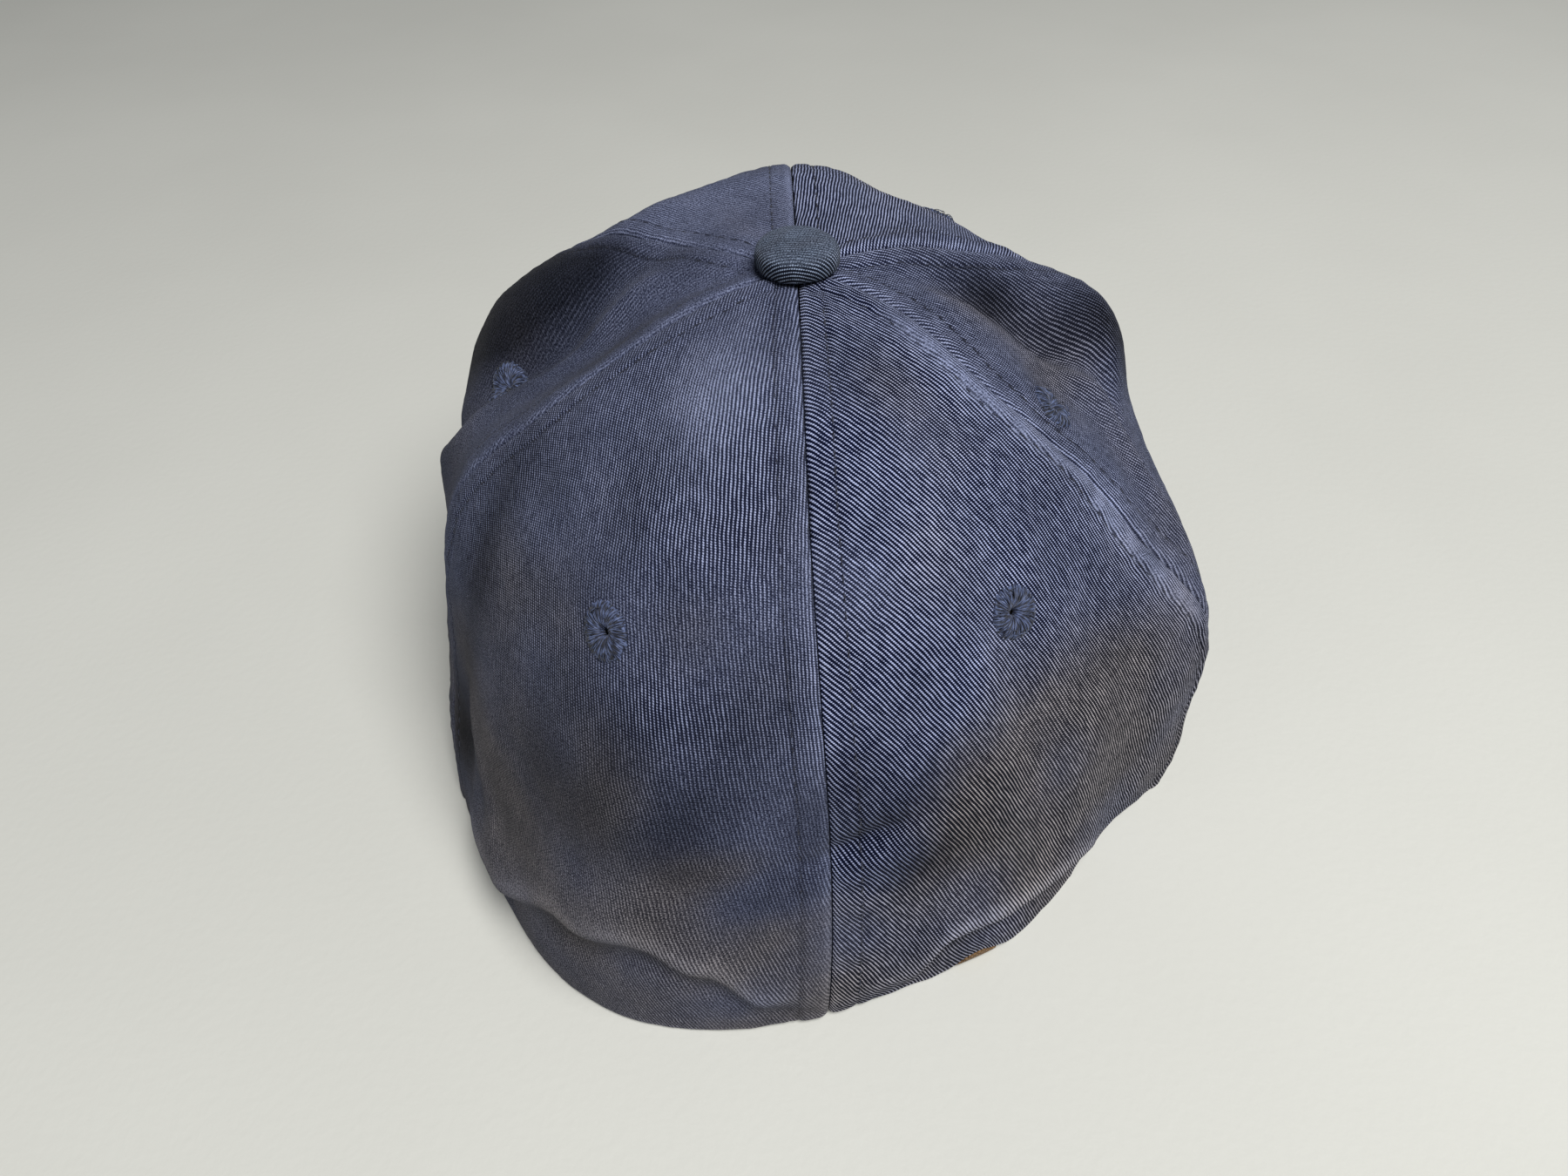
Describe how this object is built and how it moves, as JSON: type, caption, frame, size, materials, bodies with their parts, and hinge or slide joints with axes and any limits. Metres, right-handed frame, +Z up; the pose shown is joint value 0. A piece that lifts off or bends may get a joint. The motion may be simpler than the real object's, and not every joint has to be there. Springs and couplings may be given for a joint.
{
  "type": "baseball cap",
  "caption": "Soft six-panel baseball cap in washed navy cotton twill with a closed back, a curved bill, a covered top button and embroidered eyelets.",
  "frame": {"origin": "centre of the head opening, under the button, on the plane that the hem rests on", "axes": "+Z up; the bill points to -Y and the back of the cap is +Y, so +X is the wearer's left"},
  "size_m": [0.1839, 0.2664, 0.1187],
  "materials": {
    "twill": "washed navy cotton twill, faded to grey brown in patches",
    "thread": "dark blue sewing thread",
    "buckram": "open woven stiffener",
    "tape": "plain woven seam tape",
    "sweatband": "tan brushed cotton",
    "board": "moulded polyethylene board",
    "steel": "stamped steel"
  },
  "bodies": {
    "root": {"panel_back_left": "twill", "panel_side_left": "twill", "panel_front_left": "twill", "panel_front_right": "twill", "panel_side_right": "twill", "panel_back_right": "twill", "buckram_front_left": "buckram", "buckram_front_right": "buckram", "seam_tape_back_centre": "tape", "seam_tape_back_left": "tape", "seam_tape_front_left": "tape", "seam_tape_front_centre": "tape", "seam_tape_front_right": "tape", "seam_tape_back_right": "tape", "sweatband": "sweatband", "eyelets": "thread", "bill_cover_top": "twill", "bill_board": "board", "bill_cover_bottom": "twill", "button_cover": "twill", "button_shell": "steel", "button_rivet": "steel", "button_washer": "steel"}
  },
  "joints": []
}
